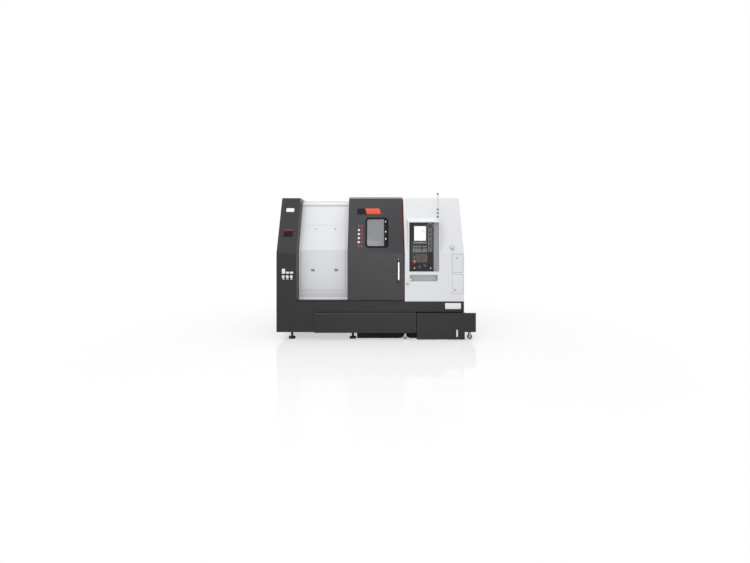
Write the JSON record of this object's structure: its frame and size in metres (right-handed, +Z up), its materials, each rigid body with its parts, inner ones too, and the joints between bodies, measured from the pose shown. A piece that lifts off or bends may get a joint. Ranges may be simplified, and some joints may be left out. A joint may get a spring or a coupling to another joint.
{
  "type": "cnc turning lathe",
  "caption": "Enclosed slant-bed CNC turning lathe: leaning front guards, sliding windowed door, swing-out control panel, tool turret, tailstock and roll-out coolant tank.",
  "frame": {"origin": "on the floor, at the middle of the footprint's bounding box", "axes": "+X right along the spindle axis seen from the front, -Y towards the operator, +Z up"},
  "size_m": [2.685, 1.783, 1.9878],
  "materials": {
    "dark_paint": "satin powder coat",
    "white_paint": "satin powder coat",
    "grey_paint": "satin powder coat",
    "red_paint": "satin powder coat",
    "cast_iron": "machined and painted casting",
    "bright_steel": "ground",
    "aluminium": "brushed",
    "glass": "clear laminated",
    "seal_rubber": "matt",
    "belt_rubber": "matt",
    "black_plastic": "fine grain",
    "grey_plastic": "fine grain",
    "screen": "gloss",
    "red_plastic": "gloss",
    "lens_plastic": "gloss",
    "wheel_rubber": "matt"
  },
  "bodies": {
    "machine": {"base_casting": "dark_paint", "leveling_feet": "cast_iron", "base_front_cover": "dark_paint", "slant_bed": "cast_iron", "headstock": "cast_iron", "spindle_bearings": "bright_steel", "spindle_motor": "dark_paint", "drive_belt": "belt_rubber", "z_servo_motor": "black_plastic", "tower_cover": "dark_paint", "left_front_cover": "white_paint", "service_panel": "white_paint", "right_front_cover": "white_paint", "pendant_surround": "white_paint", "roof_cover": "grey_paint", "right_end_cover": "white_paint", "splash_guard": "bright_steel", "electrical_cabinet": "white_paint", "door_rails": "bright_steel", "pressure_gauges": "black_plastic", "signal_tower": "grey_paint", "signal_lenses": "lens_plastic"},
    "door": {"door_panel": "dark_paint", "window_seal": "seal_rubber", "window_glass": "glass", "door_handle": "aluminium", "door_red_trim": "red_paint"},
    "spindle": {"spindle": "bright_steel", "chuck_body": "bright_steel", "spindle_pulley": "bright_steel", "chuck_cylinder": "bright_steel"},
    "jaw_1": {"jaw_1": "bright_steel"},
    "jaw_2": {"jaw_2": "bright_steel"},
    "jaw_3": {"jaw_3": "bright_steel"},
    "motor_rotor": {"motor_pulley": "bright_steel"},
    "saddle": {"saddle": "cast_iron", "x_servo_motor": "black_plastic"},
    "cross_slide": {"cross_slide": "cast_iron", "turret_housing": "grey_paint"},
    "turret": {"turret_disc": "bright_steel", "tool_holders": "dark_paint"},
    "z_screw": {"z_ball_screw": "bright_steel"},
    "tailstock": {"tailstock_body": "cast_iron"},
    "quill": {"quill": "bright_steel"},
    "pendant": {"pendant_case": "black_plastic", "pendant_screen": "screen", "pendant_keys": "grey_plastic"},
    "estop": {"estop_button": "red_plastic"},
    "handwheel": {"handwheel": "grey_plastic"},
    "feed_dial": {"feed_dial": "grey_plastic"},
    "spindle_dial": {"spindle_dial": "grey_plastic"},
    "access_door": {"access_door": "white_paint"},
    "cabinet_door": {"cabinet_door": "white_paint"},
    "main_switch": {"main_switch": "red_plastic"},
    "tank": {"coolant_tank": "dark_paint", "tank_handle": "white_paint"},
    "caster_1": {"caster_1": "wheel_rubber"},
    "caster_2": {"caster_2": "wheel_rubber"},
    "caster_3": {"caster_3": "wheel_rubber"},
    "caster_4": {"caster_4": "wheel_rubber"}
  },
  "joints": [
    {"name": "door_slide", "type": "slide", "parent": "machine", "child": "door", "axis": [-1, 0, 0], "range_m": [0, 0.65]},
    {"name": "spindle_turn", "type": "hinge", "parent": "machine", "child": "spindle", "pos_m": [-0.375, -0.3425, 1.02], "axis": [1, 0, 0], "continuous": true},
    {"name": "jaw_1_grip", "type": "slide", "parent": "spindle", "child": "jaw_1", "axis": [0, 0, -1], "range_m": [0, 0.005]},
    {"name": "jaw_2_grip", "type": "slide", "parent": "spindle", "child": "jaw_2", "axis": [0, 0.866, 0.5], "range_m": [0, 0.005]},
    {"name": "jaw_3_grip", "type": "slide", "parent": "spindle", "child": "jaw_3", "axis": [0, -0.866, 0.5], "range_m": [0, 0.005]},
    {"name": "motor_turn", "type": "hinge", "parent": "machine", "child": "motor_rotor", "pos_m": [-0.965, -0.4525, 0.67], "axis": [1, 0, 0], "continuous": true},
    {"name": "z_slide", "type": "slide", "parent": "machine", "child": "saddle", "axis": [-1, 0, 0], "range_m": [0, 0.3]},
    {"name": "x_slide", "type": "slide", "parent": "saddle", "child": "cross_slide", "axis": [0, -0.7071, -0.7071], "range_m": [0, 0.16]},
    {"name": "turret_index", "type": "hinge", "parent": "cross_slide", "child": "turret", "pos_m": [0.158, -0.00309, 1.35941], "axis": [1, 0, 0], "continuous": true},
    {"name": "z_screw_turn", "type": "hinge", "parent": "machine", "child": "z_screw", "pos_m": [0.3, 0.21965, 0.99525], "axis": [1, 0, 0], "continuous": true},
    {"name": "tailstock_slide", "type": "slide", "parent": "machine", "child": "tailstock", "axis": [-1, 0, 0], "range_m": [0, 0.2]},
    {"name": "quill_slide", "type": "slide", "parent": "tailstock", "child": "quill", "axis": [-1, 0, 0], "range_m": [0, 0.08]},
    {"name": "panel_swing", "type": "hinge", "parent": "machine", "child": "pendant", "pos_m": [0.463, -0.8045, 1.25], "axis": [0, 0, -1], "range_deg": [0, 75]},
    {"name": "estop_press", "type": "slide", "parent": "pendant", "child": "estop", "axis": [0, 1, 0], "range_m": [0, 0.006], "stiffness_N_per_m": 900},
    {"name": "handwheel_turn", "type": "hinge", "parent": "pendant", "child": "handwheel", "pos_m": [0.733, -0.8125, 1.5298], "axis": [0, 1, 0], "continuous": true},
    {"name": "feed_dial_turn", "type": "hinge", "parent": "pendant", "child": "feed_dial", "pos_m": [0.588, -0.8125, 0.9768], "axis": [0, 1, 0], "range_deg": [-135, 135]},
    {"name": "spindle_dial_turn", "type": "hinge", "parent": "pendant", "child": "spindle_dial", "pos_m": [0.658, -0.8125, 0.9928], "axis": [0, 1, 0], "range_deg": [-135, 135]},
    {"name": "access_door_swing", "type": "hinge", "parent": "machine", "child": "access_door", "pos_m": [1.173, -0.8195, 1.03], "axis": [0, 0, 1], "range_deg": [0, 110]},
    {"name": "cabinet_door_swing", "type": "hinge", "parent": "machine", "child": "cabinet_door", "pos_m": [-0.324, 0.8695, 1.2], "axis": [0, 0, 1], "range_deg": [0, 110]},
    {"name": "main_switch_turn", "type": "hinge", "parent": "cabinet_door", "child": "main_switch", "pos_m": [0.41, 0.8625, 1.4], "axis": [0, 1, 0], "range_deg": [0, 90]},
    {"name": "tank_roll", "type": "slide", "parent": "machine", "child": "tank", "axis": [1, 0, 0], "range_m": [0, 1]},
    {"name": "caster_1_spin", "type": "hinge", "parent": "tank", "child": "caster_1", "pos_m": [0.395, -0.7845, 0.035], "axis": [0, 1, 0], "continuous": true},
    {"name": "caster_2_spin", "type": "hinge", "parent": "tank", "child": "caster_2", "pos_m": [0.395, -0.2405, 0.035], "axis": [0, 1, 0], "continuous": true},
    {"name": "caster_3_spin", "type": "hinge", "parent": "tank", "child": "caster_3", "pos_m": [1.269, -0.7845, 0.035], "axis": [0, 1, 0], "continuous": true},
    {"name": "caster_4_spin", "type": "hinge", "parent": "tank", "child": "caster_4", "pos_m": [1.269, -0.2405, 0.035], "axis": [0, 1, 0], "continuous": true}
  ],
  "couplings": [
    {"joint": "jaw_2_grip", "follows": "jaw_1_grip", "ratio": 1},
    {"joint": "jaw_3_grip", "follows": "jaw_1_grip", "ratio": 1},
    {"joint": "motor_turn", "follows": "spindle_turn", "ratio": 1.5},
    {"joint": "z_screw_turn", "follows": "z_slide", "rad_per_m": 314.16}
  ]
}
